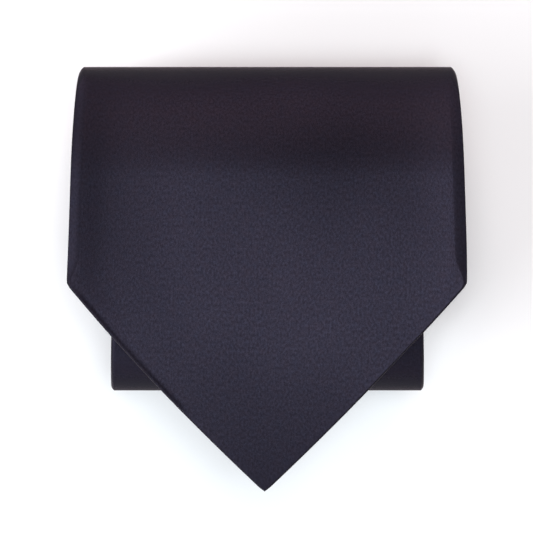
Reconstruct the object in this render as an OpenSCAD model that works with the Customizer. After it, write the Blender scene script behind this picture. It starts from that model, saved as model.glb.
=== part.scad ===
// Necktie rolled up from its tail, with the front blade lying over the roll.
// X runs across the blade, Y points away from the tip, Z is up.  The origin is the middle of
// the underside.  One path carries every piece: s is the distance from the tip along the tie,
// x is the distance from its centre line, h is the height above the middle of the cloth,
// positive on the face and negative on the back.

/* [Blade] */
// Width of the front blade at its shoulders
blade_w = 85; // [76:1:92]
// Length of the pointed end, from the tip to the shoulders
tip_len = 44.3; // [40:0.1:50]
// How far the slanted edges bow outwards, as a share of the half width
tip_bow = 0.1; // [0:0.02:0.16]
// Length of blade that lies flat on top of the roll
front_len = 66.5; // [62:0.5:72]

/* [Neck and tail] */
// Width of the narrow neck
neck_w = 36; // [30:1:40]
// Width of the tail at its shoulders
tail_w = 45; // [38:1:48]

/* [Roll] */
// Outer radius of the bends
roll_r = 25; // [24:0.5:28]
// Distance between the centres of the two bends
roll_flat = 22; // [20:0.5:28]
// Air between one wrap and the next
wrap_gap = 0.4; // [0.35:0.05:0.5]
// Extra air where the keeper loop lies
loop_room = 0.6; // [0.55:0.05:0.8]
// Straight pieces in each half turn
arc_steps = 8; // [8:4:12]

/* [Cloth] */
// Thickness of the satin shell
shell_t = 0.3; // [0.2:0.05:0.35]
// Thickness of the interlining
lining_t = 0.76; // [0.6:0.02:0.8]
// Thickness of the tipping
tipping_t = 0.12; // [0.1:0.02:0.16]

/* [Back of the blade] */
// Width of the folded hem, measured across the tie
hem_w = 5.5; // [4:0.5:7]
// Length of the keeper loop across the tie
loop_len = 54; // [44:1:58]
// Width of the keeper loop along the tie
loop_w = 14; // [10:1:18]
// Length of the blank label across the tie
label_len = 50; // [40:1:54]
// Width of the blank label along the tie
label_w = 20; // [14:1:22]

/* [Hidden] */

// Colours
satin = [0.21, 0.20, 0.26];
lining_cloth = [0.15, 0.15, 0.19];
canvas = [0.86, 0.84, 0.78];
thread = [0.12, 0.12, 0.17];
label_cloth = [0.10, 0.10, 0.13];

// The layers of the cloth, measured from its middle
ease = 0.04;
cloth_t = 2 * shell_t + lining_t + tipping_t + 3 * ease;
face_h = cloth_t / 2;
back_h = -face_h;
pocket_h = face_h - shell_t;
lining_top = pocket_h - ease;
lining_low = lining_top - lining_t;
tipping_top = lining_low - ease;
tipping_low = tipping_top - tipping_t;
thread_t = 0.1;
thread_w = 0.35;
seam_slit = 0.15;

// The roll: half turns round two centres, each a little tighter than the one before
first_r = roll_r - face_h;
half_pitch = (cloth_t + wrap_gap) / 2;
core_r = 2.4;
turns = 1 + floor((first_r - loop_room - core_r) / half_pitch);
R = [for (k = [0:turns - 1]) first_r - k * half_pitch - (k >= 2 ? loop_room : 0)];
tail_straight = 24;
// The cloth starts this far from either point
point_s = 0.4;

// Whole length of a path up to the start of half turn k
function turn_start(k) = k == 0 ? front_len : turn_start(k - 1) + PI * R[k - 1] + roll_flat;
S = [for (k = [0:turns - 1]) turn_start(k)];
tie_len = S[turns - 1] + PI * R[turns - 1] + tail_straight;

// Height of the centre of half turn k
function centre_z(k) = k == 0 ? roll_r : centre_z(k - 1) + (R[k] - R[k - 1]) * (k % 2 == 0 ? -1 : 1);
Z = [for (k = [0:turns - 1]) centre_z(k)];

// The bends' centres along Y, placed so that the origin is the middle of the whole length
top_y = (front_len - point_s - roll_r) / 2;
low_y = top_y - roll_flat;
tip_y = top_y - front_len;
step_deg = 180 / arc_steps;

// Corner j of half turn k, at height h over the middle of the cloth
function corner(k, j, h) =
    let (a = j * step_deg, r = R[k] + h)
    k % 2 == 0 ? [top_y + r * sin(a), Z[k] + r * cos(a)] : [low_y - r * sin(a), Z[k] - r * cos(a)];

// A place on a half turn, t along its first straight piece onwards
function on_arc(k, t, h) =
    let (u = arc_steps * t / (PI * R[k]), j = min(floor(u), arc_steps - 1))
    corner(k, j, h) * (1 - u + j) + corner(k, j + 1, h) * (u - j);

// A place on the run between half turn k and the next
function on_run(k, t, h) =
    k % 2 == 0 ? [top_y - t, Z[k] - R[k] - h] : [low_y + t, Z[k] + R[k] + h];

// A place on the tie: [Y, Z] at s along it and h over its middle
function spot(s, h) =
    s <= front_len ? [tip_y + s, Z[0] + R[0] + h] :
    let (k = len([for (q = S) if (q <= s) 1]) - 1, t = s - S[k], bend = PI * R[k])
    t <= bend ? on_arc(k, t, h) : on_run(k, t - bend, h);

function place(s, x, h) =
    let (q = spot(s, h))
    [x, q[0], q[1]];

// Half the width of a pointed end, u from its point
function point_w(u, len, half, bow) =
    let (v = u / len)
    half * (v + bow * v * (1 - v));

// How the blade narrows to the neck: distance from the tip, share of the extra width
TAPER = [[45, 1], [66, 0.975], [104, 0.935], [135, 0.8], [165, 0.7], [200, 0.672],
    [250, 0.59], [350, 0.286], [450, 0.1], [550, 0.02], [650, 0]];
tail_tip_len = 22.5;
tail_taper_len = 480;

function half_width(s) =
    let (u = tie_len - s)
    s < tip_len ? point_w(s, tip_len, blade_w / 2, tip_bow) :
    s < 650 ? (neck_w + (blade_w - neck_w) * lookup(s, TAPER)) / 2 :
    u < tail_tip_len ? point_w(u, tail_tip_len, tail_w / 2, 0) :
    (neck_w + (tail_w - neck_w) * max(0, 1 - (u - tail_tip_len) / tail_taper_len)) / 2;

// Where the blade parts from the roll, and where the folded flaps meet behind each end
split_s = S[0] + PI * R[0] / 4;
body_gap = 0.3;
flap_meet = split_s - body_gap;
tail_flap_meet = 46;

// Half the opening between the flaps, u from the point, len to the shoulders, meet to the seam
function opening(u, len, half, meet, s) =
    u < len ? max(0.06, half_width(s) - hem_w) :
    max(seam_slit, (half - hem_w) * (meet - u) / (meet - len));

function flap_gap(s) =
    let (u = tie_len - s)
    s < flap_meet ? opening(s, tip_len, blade_w / 2, flap_meet, s) :
    u < tail_flap_meet ? opening(u, tail_tip_len, tail_w / 2, tail_flap_meet, s) :
    seam_slit;

// Stations where a strip gets a ring: the points, the shoulders and every corner of the bends
FRONT_S = [point_s, 2, hem_w, 9, 14, 20, 27, 35, tip_len, 55];
BACK_S = [tail_tip_len, 16, 10, hem_w, 2];
ALL_S = concat(
    FRONT_S,
    [for (k = [0:turns - 1]) for (j = [0:arc_steps]) S[k] + j * PI * R[k] / arc_steps],
    [for (u = BACK_S) tie_len - u]
);
merge = 0.3;
function stations(s0, s1) =
    concat([s0], [for (s = ALL_S) if (s > s0 + merge && s < s1 - merge) s], [s1]);

// Sections, as [x, h] points in order round the strip
function shell_section(s) =
    let (w = half_width(s), wall = min(shell_t, 0.6 * w), i = w - wall, g = flap_gap(s))
    [
        [-g, back_h], [-w, back_h], [-w, face_h], [w, face_h], [w, back_h], [g, back_h],
        [g, -pocket_h], [i, -pocket_h], [i, pocket_h], [-i, pocket_h], [-i, -pocket_h],
        [-g, -pocket_h]
    ];
SHELL_CAP = [[0, 1, 10, 11], [1, 2, 9, 10], [2, 3, 8, 9], [3, 4, 7, 8], [4, 5, 6, 7]];

function band_section(w, low, top) = [[-w, low], [-w, top], [w, top], [w, low]];
BAND_CAP = [[0, 1, 2, 3]];

lining_ease = 0.5;
function lining_section(s) = band_section(half_width(s) - lining_ease, lining_low, lining_top);

tuck = 2.5;
function tipping_section(s) =
    band_section(min(half_width(s) - lining_ease, flap_gap(s) + tuck), tipping_low, tipping_top);

// Triangles of a quadrilateral [a, b, c, d]
function halves(q) = [[q[0], q[1], q[2]], [q[0], q[2], q[3]]];

function reversed(q) = [for (i = [len(q) - 1:-1:0]) q[i]];

// A closed strip through a list of sections.  The first and the last may run slantwise over the
// tie: their slant is how far s grows for each millimetre of x.
module strip(at, sections, cap, first_slant = 0, last_slant = 0) {
    n = len(sections[0]);
    last = len(at) - 1;
    points = [
        for (i = [0:last]) for (p = sections[i])
            place(at[i] + p[0] * (i == 0 ? first_slant : i == last ? last_slant : 0), p[0], p[1])
    ];
    sides = [
        for (i = [0:last - 1]) for (j = [0:n - 1])
            let (k = (j + 1) % n)
            each halves([i * n + j, i * n + k, (i + 1) * n + k, (i + 1) * n + j])
    ];
    start = [for (q = cap) each halves(reversed(q))];
    end = [for (q = cap) each halves([for (i = q) i + last * n])];
    polyhedron(points, concat(sides, start, end));
}

module shell(s0, s1, first_slant = 0, last_slant = 0) {
    at = stations(s0, s1);
    strip(at, [for (s = at) shell_section(s)], SHELL_CAP, first_slant, last_slant);
}

module lining(s0, s1) {
    at = stations(s0, s1);
    strip(at, [for (s = at) lining_section(s)], BAND_CAP);
}

module tipping(s0, s1) {
    at = stations(s0, s1);
    strip(at, [for (s = at) tipping_section(s)], BAND_CAP);
}

// A flat rectangle of cloth on the back of the tie
module patch(s0, s1, w, low, top) {
    at = stations(s0, s1);
    strip(at, [for (s = at) band_section(w, low, top)], BAND_CAP);
}

// One stitch lying on the cloth, from x0 to x1 across the tie and len along it
module stitch(s, x0, x1, len, low, top, slant = 0) {
    section = [[x0, low], [x0, top], [x1, top], [x1, low]];
    strip([s - len / 2, s + len / 2], [section, section], BAND_CAP, slant, slant);
}

// Back stitches lie this high over the cloth
stitch_top = back_h - 0.02;
stitch_low = stitch_top - thread_t;

// Panels meet in the middle of a run, on a slanting line
seam_slant = 0.5;
panel_gap = 0.2;
blade_neck_s = S[7] - roll_flat / 2;
neck_tail_s = S[11] - roll_flat / 2;

module blade_shell_front() {
    color(satin) shell(point_s, split_s - body_gap);
}

module blade_shell_roll() {
    color(satin) shell(split_s, blade_neck_s - panel_gap / 2, 0, seam_slant);
}

module neck_shell() {
    color(satin)
        shell(blade_neck_s + panel_gap / 2, neck_tail_s - panel_gap / 2, seam_slant, seam_slant);
}

module tail_shell() {
    color(satin) shell(neck_tail_s + panel_gap / 2, tie_len - point_s, seam_slant, 0);
}

lining_inset = 3;
module interlining_front() {
    color(canvas) lining(lining_inset, split_s - body_gap);
}

module interlining_roll() {
    color(canvas) lining(split_s, tie_len - lining_inset);
}

module blade_tipping() {
    color(lining_cloth) tipping(lining_inset, split_s - 2 * body_gap);
}

module tail_tipping() {
    color(lining_cloth) tipping(tie_len - tail_flap_meet, tie_len - lining_inset);
}

// The loop lies on the run after the first half turn, where the wraps leave it room
loop_s = S[1] - roll_flat / 2;
loop_t = 0.45;
loop_foot = 5;
loop_lift = 0.02;
loop_rise = 0.42;
loop_slope = 3;
module keeper_loop() {
    half = loop_len / 2;
    base = spot(loop_s, back_h - loop_lift);
    color(satin)
        translate([0, base[0] + loop_w / 2, base[1]])
            rotate([90, 0, 0])
                linear_extrude(loop_w)
                    polygon([
                        [-half, 0], [-half, loop_t], [-half + loop_foot - 1, loop_t],
                        [-half + loop_foot + loop_slope - 1, loop_t + loop_rise],
                        [half - loop_foot - loop_slope + 1, loop_t + loop_rise],
                        [half - loop_foot + 1, loop_t], [half, loop_t], [half, 0],
                        [half - loop_foot, 0], [half - loop_foot - loop_slope, loop_rise],
                        [-half + loop_foot + loop_slope, loop_rise], [-half + loop_foot, 0]
                    ]);
}

tack_h = back_h - loop_lift - loop_t - 0.02;
module keeper_loop_tacks() {
    color(thread)
        for (side = [-1, 1])
            for (i = [-2:2])
                stitch(loop_s + i * loop_w / 5, side * (loop_len / 2 - 2) - 1,
                    side * (loop_len / 2 - 2) + 1, thread_w, tack_h - thread_t, tack_h);
}

// Labels lie over the seam and its stitches, just past the loop
label_t = 0.15;
label_top = stitch_low - 0.02;
label_low = label_top - label_t;
label_s = S[1] + 3;
module main_label() {
    color(label_cloth) patch(label_s, label_s + label_w, label_len / 2, label_low, label_top);
}

module main_label_stitches() {
    low = label_low - 0.02 - thread_t;
    color(thread)
        for (side = [-1, 1])
            for (i = [1:6]) {
                x = side * (label_len / 2 - 1);
                stitch(label_s + i * label_w / 7, x - thread_w / 2, x + thread_w / 2, 1.8,
                    low, low + thread_t);
            }
}

care_s = label_s + label_w + 4;
module care_label() {
    color(label_cloth) patch(care_s, care_s + 13, 9, label_low, label_top);
}

// Hem stitches run beside the opening, from its point to where the flaps meet
module hem_stitches(count, first, pitch, blade) {
    for (i = [0:count - 1])
        for (side = [-1, 1]) {
            u = first + i * pitch;
            s = blade ? u : tie_len - u;
            x = side * (flap_gap(s) + 1.2);
            stitch(s, x - thread_w / 2, x + thread_w / 2, 1.6, stitch_low, stitch_top);
        }
}

module blade_tipping_stitches() {
    color(thread) hem_stitches(24, 9, 3, true);
}

module tail_tipping_stitches() {
    color(thread) hem_stitches(10, 9, 3.2, false);
}

// A bar tack is a close row of threads over the seam
module bar_tack(s, half, pitch) {
    color(thread)
        for (i = [-1:1])
            stitch(s + i * pitch, -half, half, thread_w, stitch_low - 0.05, stitch_top);
}

blade_tack_s = split_s + 7;
tail_tack_s = tie_len - tail_flap_meet - 5;
module blade_bar_tack() {
    bar_tack(blade_tack_s, 4, 0.6);
}

module tail_bar_tack() {
    bar_tack(tail_tack_s, 3, 0.6);
}

slip_pitch = 12;
module slip_stitch() {
    first = blade_tack_s + 6;
    count = floor((tail_tack_s - 6 - first) / slip_pitch);
    color(thread)
        for (i = [0:count])
            stitch(first + i * slip_pitch, -1.6, 1.6, thread_w, stitch_low, stitch_top, 0.2);
}

// The stitches of a panel seam lie down in the joint between the two panels
module panel_seam(s) {
    half = half_width(s) - 1.2;
    count = 12;
    pitch = 2 * half / count;
    color(thread)
        for (i = [0:count - 1])
            stitch(s, -half + i * pitch + 0.4, -half + (i + 1) * pitch - 0.4, 0.12,
                face_h - shell_t + 0.05, face_h - 0.05, seam_slant);
}

module blade_neck_seam() {
    panel_seam(blade_neck_s);
}

module neck_tail_seam() {
    panel_seam(neck_tail_s);
}

blade_shell_front();
blade_shell_roll();
neck_shell();
tail_shell();
interlining_front();
interlining_roll();
blade_tipping();
tail_tipping();
keeper_loop();
keeper_loop_tacks();
main_label();
main_label_stitches();
care_label();
blade_tipping_stitches();
tail_tipping_stitches();
blade_bar_tack();
tail_bar_tack();
slip_stitch();
blade_neck_seam();
neck_tail_seam();
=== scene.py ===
"""A satin necktie rolled up from its tail, with the front blade lying over the roll.

Everything is in metres.  One route carries every piece: s is the distance from the point of the
blade along the tie, x the distance from its centre line, and h the height over the middle of the
cloth, positive on the satin face.
"""

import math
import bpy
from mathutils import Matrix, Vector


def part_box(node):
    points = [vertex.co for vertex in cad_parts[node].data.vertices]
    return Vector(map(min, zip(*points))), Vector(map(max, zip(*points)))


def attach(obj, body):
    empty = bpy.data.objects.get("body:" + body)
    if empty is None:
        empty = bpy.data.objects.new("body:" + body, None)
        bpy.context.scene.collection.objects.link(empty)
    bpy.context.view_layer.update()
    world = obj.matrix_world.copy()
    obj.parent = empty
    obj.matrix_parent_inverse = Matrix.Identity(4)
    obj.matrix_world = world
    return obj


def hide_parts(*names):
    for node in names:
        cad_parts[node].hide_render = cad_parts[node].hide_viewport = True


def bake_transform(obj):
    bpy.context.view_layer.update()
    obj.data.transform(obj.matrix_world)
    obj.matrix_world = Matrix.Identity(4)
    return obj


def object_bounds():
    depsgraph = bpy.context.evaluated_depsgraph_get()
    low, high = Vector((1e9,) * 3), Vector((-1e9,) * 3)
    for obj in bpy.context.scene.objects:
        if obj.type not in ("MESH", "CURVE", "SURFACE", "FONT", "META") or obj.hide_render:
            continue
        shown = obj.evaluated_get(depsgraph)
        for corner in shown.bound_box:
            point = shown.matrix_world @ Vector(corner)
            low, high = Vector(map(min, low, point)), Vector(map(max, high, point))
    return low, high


bl_info = {
    "name": "Rolled Necktie",
    "version": (1, 0, 0),
    "blender": (4, 5, 0),
    "location": "3D View > Sidebar > Necktie",
    "description": "Makes a rolled satin necktie with its lining, labels and stitches",
    "category": "Object",
}

import bpy
import numpy as np
from mathutils import Vector

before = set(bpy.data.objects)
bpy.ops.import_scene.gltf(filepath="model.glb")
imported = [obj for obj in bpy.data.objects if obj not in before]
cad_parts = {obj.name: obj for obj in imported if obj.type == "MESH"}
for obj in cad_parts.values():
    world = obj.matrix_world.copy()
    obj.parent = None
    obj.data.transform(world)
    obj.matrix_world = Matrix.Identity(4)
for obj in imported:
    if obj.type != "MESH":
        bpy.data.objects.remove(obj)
LOW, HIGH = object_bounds()

MM = 0.001
CLOTH_MAP = "cloth"
# The point attribute holding painted light and shade on the blade's satin, as a share on each point
PAINTED_LIGHT_MAP = "painted_light"


def node_span(node, axis):
    """The lowest and the highest place of a CAD node along one axis."""
    low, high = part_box(node)
    return low[axis], high[axis]


# ---------------------------------------------------------------------------- settings

# Places that follow from the CAD frame
POINT_CUT = 0.4 * MM
BEND_RADIUS = HIGH.z / 2
FAR_HUB_Y = HIGH.y - BEND_RADIUS
HALF_PITCH = 1.0 * MM
NEAR_HUB_Y = node_span("blade_shell_roll", 1)[0] + BEND_RADIUS - HALF_PITCH


def length(name, description, default):
    """A length property, in metres."""
    return bpy.props.FloatProperty(
        name=name, description=description, default=default, min=0, precision=5, unit="LENGTH"
    )


def colour(name, description, default):
    """A colour property, linear red, green and blue."""
    return bpy.props.FloatVectorProperty(
        name=name, description=description, default=default, min=0, max=1, size=3, subtype="COLOR"
    )


class TieSizes(bpy.types.PropertyGroup):
    """Sizes of the rolled tie"""

    blade_width: length("Blade width", "Width of the blade at its shoulders", HIGH.x - LOW.x)
    tip_length: length("Tip length", "Length of the pointed end of the blade", 44.3 * MM)
    front_length: length(
        "Front length", "Flat blade in front of the far bend", FAR_HUB_Y - LOW.y + POINT_CUT
    )
    neck_width: length("Neck width", "Width of the narrow neck", 36 * MM)
    tail_width: length("Tail width", "Width of the tail at its shoulders", 45 * MM)
    bend_radius: length("Bend radius", "Outer radius of the bends", BEND_RADIUS)
    hub_spacing: length(
        "Hub spacing", "Distance between the centres of the bends", FAR_HUB_Y - NEAR_HUB_Y
    )
    half_pitch: length("Half pitch", "How much tighter each half turn is", HALF_PITCH)
    cloth_thickness: length("Cloth thickness", "Thickness of the folded tie", 1.6 * MM)
    shell_thickness: length("Shell thickness", "Thickness of the satin", 0.3 * MM)
    edge_roll: length("Edge roll", "Width of the rounded long edges", 2.6 * MM)
    hem_width: length("Hem width", "Width of the folded hem behind the points", 5.5 * MM)
    droop: length("Droop", "How far the point of the blade sinks", 2.6 * MM)


class TieColours(bpy.types.PropertyGroup):
    """Colours of the cloths and threads"""

    satin_shade: colour("Satin shade", "Satin between its floats", (0.0135, 0.0127, 0.0200))
    satin_light: colour("Satin light", "Satin on its floats", (0.0228, 0.0232, 0.0378))
    satin_warm: colour("Satin warm", "Redder threads of the satin", (0.0262, 0.0218, 0.0322))
    satin_gloss: colour("Satin gloss", "Tint of the shine at grazing angles", (0.30, 0.14, 0.19))
    tipping: colour("Tipping", "Lining behind the points", (0.012, 0.012, 0.020))
    canvas: colour("Canvas", "Interlining", (0.62, 0.58, 0.48))
    label: colour("Label", "Woven labels", (0.010, 0.010, 0.016))
    thread: colour("Thread", "Sewing thread", (0.022, 0.020, 0.034))
    floor: colour("Floor", "Studio floor", (0.91, 0.91, 0.90))


# ------------------------------------------------------------------------------- route

TURNS = 22
LOOP_ROOM = 0.6 * MM
TAIL_STRAIGHT = 24 * MM
TAIL_TIP = 22.5 * MM
TAIL_TAPER = 480 * MM
TAIL_MEET = 46 * MM
TIP_BOW = 0.1
# How the blade narrows to the neck: distance from the point in millimetres, share of the extra width
TAPER = np.array(
    [(0, 1), (45, 1), (66, 0.975), (104, 0.935), (135, 0.80), (165, 0.70), (200, 0.672),
     (250, 0.59), (350, 0.286), (450, 0.1), (550, 0.02), (650, 0)]
)
CORNER_SOFTNESS = 0.22 * MM
POINT_ROUND = 0.9 * MM
SEAM_SLIT = 0.15 * MM
# Where the visible blade panel is divided, in the middle of the run along the floor
CUT_SHARE = 0.5
# The rounded edges: their share round the point, what they lose over the far bend and regain inside
POINT_EDGE = 0.2
POINT_EDGE_LEAD, POINT_EDGE_FADE = 2 * MM, 9 * MM
EDGE_LOSS, EDGE_LOSS_LENGTH = 0.75, 26 * MM
EDGE_GAIN, EDGE_GAIN_FROM, EDGE_GAIN_LENGTH = 0.15, 220 * MM, 60 * MM
# The air that the folded tie fills inside the roll
FULL_SHARE, FULL_FROM, FULL_LENGTH = 0.14, 175 * MM, 80 * MM
# The relief of the blade, which ends where it goes over the far bend
RELIEF_END, RELIEF_FADE = 78 * MM, 20 * MM
LIFT, LIFT_FROM, LIFT_LENGTH = 2.0 * MM, 24 * MM, 80 * MM
SWING, SWING_WAVE, SWING_SHIFT = 0.5 * MM, 44 * MM, 8 * MM
SWING_FROM, SWING_FADE = 20 * MM, 40 * MM
DROOP_LENGTH = 38 * MM
FALL_LEFT, FALL_RIGHT = 0.45 * MM, 0.1 * MM
FALL_LEFT_WIDTH, FALL_RIGHT_WIDTH = 9 * MM, 4 * MM
FALL_FROM, FALL_FADE = 30 * MM, 20 * MM
CREST, CREST_FROM, CREST_TO, CREST_FADE = 0.2 * MM, 80 * MM, 125 * MM, 20 * MM
# How the cloth wanders sideways, at its point and inside the roll
LEAN, LEAN_FROM, LEAN_FADE = -0.6 * MM, 15 * MM, 45 * MM
WANDER, WANDER_FROM, WANDER_FADE = 0.8 * MM, 250 * MM, 200 * MM
LONG_WANDER, SHORT_WANDER, SHORT_SHARE = 61 * MM, 23 * MM, 0.6


def smooth(t):
    """A smooth step: 0 below 0, 1 above 1, and 6t^5 - 15t^4 + 10t^3 between."""
    t = np.clip(t, 0, 1)
    return t * t * t * (t * (6 * t - 15) + 10)


def soft_least(a, b, softness):
    """The smaller of a and b, with the corner between them rounded: -k ln(e^(-a/k) + e^(-b/k))."""
    least = np.minimum(a, b)
    return least - softness * np.log1p(np.exp(-np.abs(a - b) / softness))


class Roll:
    """The route of the cloth: half turns about two hubs, each tighter than the last, with straight
    runs between them, and the tie's outline unrolled along it."""

    def __init__(self, sizes):
        self.sizes = sizes
        self.face = sizes.cloth_thickness / 2
        turn = np.arange(TURNS)
        first = sizes.bend_radius - self.face
        self.radius = first - turn * sizes.half_pitch - LOOP_ROOM * (turn >= 2)
        bends = np.pi * self.radius
        self.start = sizes.front_length + np.append(0, np.cumsum(bends[:-1] + sizes.hub_spacing))
        self.length = self.start[-1] + bends[-1] + TAIL_STRAIGHT
        rises = np.diff(self.radius) * np.where(turn[1:] % 2 == 0, -1, 1)
        self.height = sizes.bend_radius + np.append(0, np.cumsum(rises))
        self.cut = self.start[1] - CUT_SHARE * sizes.hub_spacing
        self.meet = self.start[0] + bends[0] / 4
        self.blade_neck = self.start[7] - sizes.hub_spacing / 2
        self.neck_tail = self.start[11] - sizes.hub_spacing / 2

    def side_width(self, s):
        """Half the width of the long sides: neck plus the blade's share and the tail's share."""
        size = self.sizes
        spread = np.linspace(-6, 6, 7) * MM
        share = np.interp(s[..., None] + spread, TAPER[:, 0] * MM, TAPER[:, 1]).mean(axis=-1)
        behind = self.length - s - TAIL_TIP
        tail = np.clip(1 - behind / TAIL_TAPER, 0, 1)
        extra = (size.blade_width - size.neck_width) * share + (size.tail_width - size.neck_width) * tail
        return (size.neck_width + extra) / 2

    def point_width(self, u, tip, half, bow):
        """Half the width u from a point: half (v + bow v (1 - v)) with v = u / tip, its very point
        rounded by the square root of 1 - (1 - u / r)^2."""
        v = (u + 0.3 * POINT_ROUND) / tip
        rounding = np.sqrt(1 - (1 - np.clip(u / POINT_ROUND, 0, 1)) ** 2)
        return half * (v + bow * v * (1 - v)) * rounding

    def half_width(self, s):
        """Half the width of the tie at s, the least of its sides and its two points."""
        s = np.asarray(s, float)
        size = self.sizes
        behind = self.length - s
        side = self.side_width(s)
        front = self.point_width(np.maximum(s, 0), size.tip_length, size.blade_width / 2, TIP_BOW)
        back = self.point_width(np.maximum(behind, 0), TAIL_TIP, size.tail_width / 2, 0)
        front = np.where(s > 1.6 * size.tip_length, 1.0, front)
        back = np.where(behind > 1.6 * TAIL_TIP, 1.0, back)
        return soft_least(soft_least(side, front, CORNER_SOFTNESS), back, CORNER_SOFTNESS)

    def opening(self, s):
        """Half the opening between the folded flaps: the width less the hem behind a point, then
        closing in a straight line to where the flaps meet."""
        s = np.asarray(s, float)
        size = self.sizes
        behind = self.length - s

        def closing(u, tip, width, meet):
            """The opening u from a point, with its shoulders at tip and its flaps meeting at meet."""
            hemmed = np.maximum(0.06 * MM, self.half_width(s) - size.hem_width)
            line = (width / 2 - size.hem_width) * (meet - u) / (meet - tip)
            return np.maximum(SEAM_SLIT, soft_least(hemmed, line, 3 * CORNER_SOFTNESS))

        front = closing(s, size.tip_length, size.blade_width, self.meet)
        back = closing(behind, TAIL_TIP, size.tail_width, TAIL_MEET)
        gap = np.where(s < self.meet, front, np.where(behind < TAIL_MEET, back, SEAM_SLIT))
        return np.minimum(gap, 0.8 * self.half_width(s))

    def edge(self, s):
        """How wide the rounded edges are: widest along the front blade, narrower round its point and
        on the wraps inside."""
        past_tip = smooth((s - self.sizes.tip_length + POINT_EDGE_LEAD) / POINT_EDGE_FADE)
        point = POINT_EDGE + (1 - POINT_EDGE) * past_tip
        lost = EDGE_LOSS * smooth((s - RELIEF_END) / EDGE_LOSS_LENGTH)
        regained = EDGE_GAIN * smooth((s - EDGE_GAIN_FROM) / EDGE_GAIN_LENGTH)
        return self.sizes.edge_roll * point * (1 - lost + regained)

    def fullness(self, s):
        """How thick the folded tie is against its CAD solid: it fills the air between inner wraps."""
        return 1 + FULL_SHARE * smooth((s - FULL_FROM) / FULL_LENGTH)

    def rise(self, s, x):
        """How far the cloth stands off the plain route, along its normal: the blade stands off the
        roll more and more towards its point, which droops.  It swings in one slow wave across, falls
        away at its long edges and ripples, and a low crest runs over the far bend."""
        bend = 1 - smooth((s - RELIEF_END) / RELIEF_FADE)
        wave = -np.sin(2 * np.pi * (x + SWING_SHIFT) / SWING_WAVE)
        swing = SWING * wave * smooth((s - SWING_FROM) / SWING_FADE) * bend
        lift = LIFT * (1 - smooth((s - LIFT_FROM) / LIFT_LENGTH)) + swing
        droop = -self.sizes.droop * np.clip(1 - s / DROOP_LENGTH, 0, 1) ** 2
        left = x < 0
        fall_width = np.where(left, FALL_LEFT_WIDTH, FALL_RIGHT_WIDTH)
        near_edge = 1 - smooth((self.half_width(s) - np.abs(x)) / fall_width)
        fall = np.where(left, FALL_LEFT, FALL_RIGHT) * near_edge * smooth((s - FALL_FROM) / FALL_FADE)
        crest = CREST * smooth((s - CREST_FROM) / CREST_FADE)
        crest = crest * (1 - smooth((s - CREST_TO) / CREST_FADE))
        return lift + droop + crest + bend * (ripple(s, x) - fall)

    def drift(self, s):
        """How far the cloth wanders sideways: the point leans a little, and the wraps inside the
        roll wander as they do when rolled by hand."""
        lean = LEAN * (1 - smooth((s - LEAN_FROM) / LEAN_FADE))
        inside = smooth((s - WANDER_FROM) / WANDER_FADE)
        waves = np.sin(s / LONG_WANDER) + SHORT_SHARE * np.sin(s / SHORT_WANDER + 1)
        return lean + inside * WANDER * waves

    def place(self, s, x, h):
        """The points at s, x and h: the middle of the cloth, plus its normal times h and the rise."""
        s, x, h = np.broadcast_arrays(s, x, h)
        turn = np.clip(np.searchsorted(self.start, s, side="right") - 1, 0, None)
        past = s - self.start[turn]
        side = np.where(turn % 2 == 0, 1.0, -1.0)
        angle = np.clip(past / self.radius[turn], 0, np.pi)
        run = past - angle * self.radius[turn]
        reach = self.radius[turn] + h + self.rise(s, x)
        hub = np.where(turn % 2 == 0, FAR_HUB_Y, NEAR_HUB_Y)
        y = hub + side * (reach * np.sin(angle) - np.maximum(run, 0)) + np.minimum(run, 0)
        z = self.height[turn] + side * reach * np.cos(angle)
        return np.stack([x + self.drift(s), y, z], axis=-1)

    def stations(self, first, last, finest, coarsest):
        """Values of s from first to last, closer together on the tighter bends."""
        found = [first]
        while found[-1] < last - 0.7 * finest:
            turn = max(int(np.searchsorted(self.start, found[-1], side="right")) - 1, 0)
            found.append(found[-1] + min(max(0.11 * self.radius[turn], finest), coarsest))
        found[-1] = last
        return np.array(found)


RIPPLE_SEED = 12
RIPPLE_WAVES = 7
RIPPLE_HEIGHT = 0.025 * MM


def ripple(s, x):
    """Low waves in pressed cloth: a sum of sines of 24 to 60 mm in seeded directions."""
    draw = np.random.default_rng(RIPPLE_SEED)
    total = 0
    for wave in range(RIPPLE_WAVES):
        number = 2 * np.pi / draw.uniform(24 * MM, 60 * MM)
        heading = draw.uniform(0, np.pi)
        phase = draw.uniform(0, 2 * np.pi)
        total = total + np.sin(number * (x * np.cos(heading) + s * np.sin(heading)) + phase)
    return RIPPLE_HEIGHT * total


# Painted light and shade on the blade's satin colour: a patch of painted shade right of the middle
# where the blade starts to bend, painted shade on the left side, a painted highlight on the right one,
# and painted shade towards the point
SHADE_PATCH_X, SHADE_PATCH_S = 17 * MM, 70 * MM
SHADE_PATCH_WIDTH, SHADE_PATCH_LENGTH = 19 * MM, 13 * MM
SHADE_PATCH_SHARE = -0.33
SIDE_FROM, SIDE_TO = 26 * MM, 40 * MM
SIDE_S, SIDE_LENGTH = 64 * MM, 26 * MM
SIDE_SHARE = 0.28
POINT_FROM, POINT_TO = 14 * MM, 42 * MM
POINT_SHARE = -0.12
# Along its left edge, a painted highlight on the rolled rim and painted shade along the crease of the
# point
RIM_PLACE, RIM_REACH, RIM_SHARE = 1.2 * MM, 0.9 * MM, 0.4
CREASE_PLACE, CREASE_REACH, CREASE_SHARE = 0.85 * MM, 0.45 * MM, -0.45
CREASE_FROM, RIM_TO = 14 * MM, 96 * MM
MARK_FADE = 6 * MM
POINT_SLOPE = 0.73


def bell(value, middle, reach):
    """The bell curve e^(-((value - middle) / reach)^2)."""
    return np.exp(-(((value - middle) / reach) ** 2))


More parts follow.
